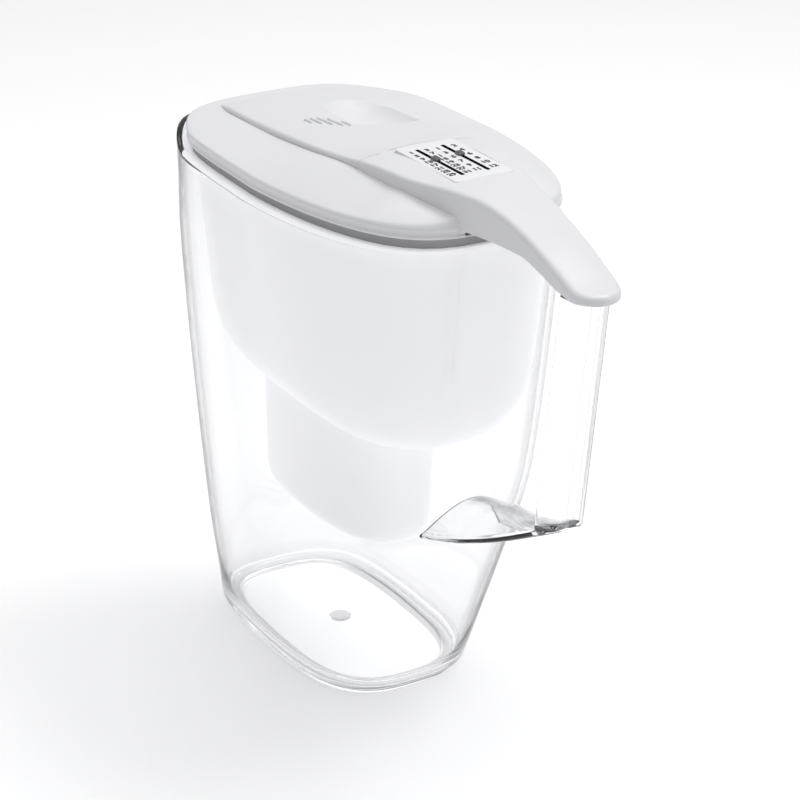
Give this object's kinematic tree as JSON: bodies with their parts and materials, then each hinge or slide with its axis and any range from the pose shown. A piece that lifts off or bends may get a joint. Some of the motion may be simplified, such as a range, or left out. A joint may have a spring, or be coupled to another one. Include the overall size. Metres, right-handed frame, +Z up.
{
  "type": "water filter pitcher",
  "caption": "Clear household filter jug with a hanging white hopper, an oval cartridge, and a white lid with a hinged filling cover, a sliding change reminder and an arm over the handle post.",
  "frame": {"origin": "centre of the resting face, under the middle of the jug's foot", "axes": "+Z up, +X from the spout towards the handle, Y across"},
  "size_m": [0.2788, 0.1242, 0.2633],
  "materials": {
    "clear_plastic": "clear moulded styrene-acrylonitrile, polished",
    "hopper_white": "white, slightly translucent, satin gloss",
    "lid_white": "white moulded plastic, satin gloss",
    "liner_white": "white moulded plastic, matte",
    "cartridge_white": "white moulded plastic, matte",
    "seal_rubber": "soft silicone lip",
    "mesh_fabric": "fine woven screen",
    "carbon": "loose carbon granules",
    "resin": "loose resin beads",
    "pin_steel": "drawn wire",
    "plate_white": "white moulded plastic, fine matte",
    "slide_grey": "grey moulded plastic"
  },
  "bodies": {
    "jug": {"jug": "clear_plastic", "spout_lip": "clear_plastic"},
    "hopper": {"hopper": "hopper_white"},
    "cartridge": {"cartridge_body": "cartridge_white", "cartridge_cap": "cartridge_white", "cartridge_grip": "cartridge_white", "cartridge_seal": "seal_rubber", "upper_mesh": "mesh_fabric", "lower_mesh": "mesh_fabric", "carbon_bed": "carbon", "resin_bed": "resin"},
    "lid": {"lid_shell": "lid_white", "lid_liner": "liner_white", "arm_underside": "liner_white", "hinge_pin": "pin_steel", "reminder_plate": "plate_white", "slide_track": "slide_grey"},
    "cover": {"flip_cover": "lid_white"},
    "month_slide": {"month_slide": "slide_grey"},
    "day_slide": {"day_slide": "slide_grey"}
  },
  "joints": [
    {"name": "hopper_lift", "type": "slide", "parent": "jug", "child": "hopper", "axis": [0, 0, 1], "range_m": [0, 0.17]},
    {"name": "cartridge_lift", "type": "slide", "parent": "hopper", "child": "cartridge", "axis": [0, 0, 1], "range_m": [0, 0.17]},
    {"name": "lid_lift", "type": "slide", "parent": "cartridge", "child": "lid", "axis": [0, 0, 1], "range_m": [0, 0.06]},
    {"name": "cover_hinge", "type": "hinge", "parent": "lid", "child": "cover", "pos_m": [0.0675, 0, 0.2581], "axis": [0, 1, 0], "range_deg": [0, 75]},
    {"name": "month_slide_travel", "type": "slide", "parent": "lid", "child": "month_slide", "axis": [1, 0, 0], "range_m": [-0.012, 0.02]},
    {"name": "day_slide_travel", "type": "slide", "parent": "lid", "child": "day_slide", "axis": [1, 0, 0], "range_m": [-0.013, 0.019]}
  ]
}
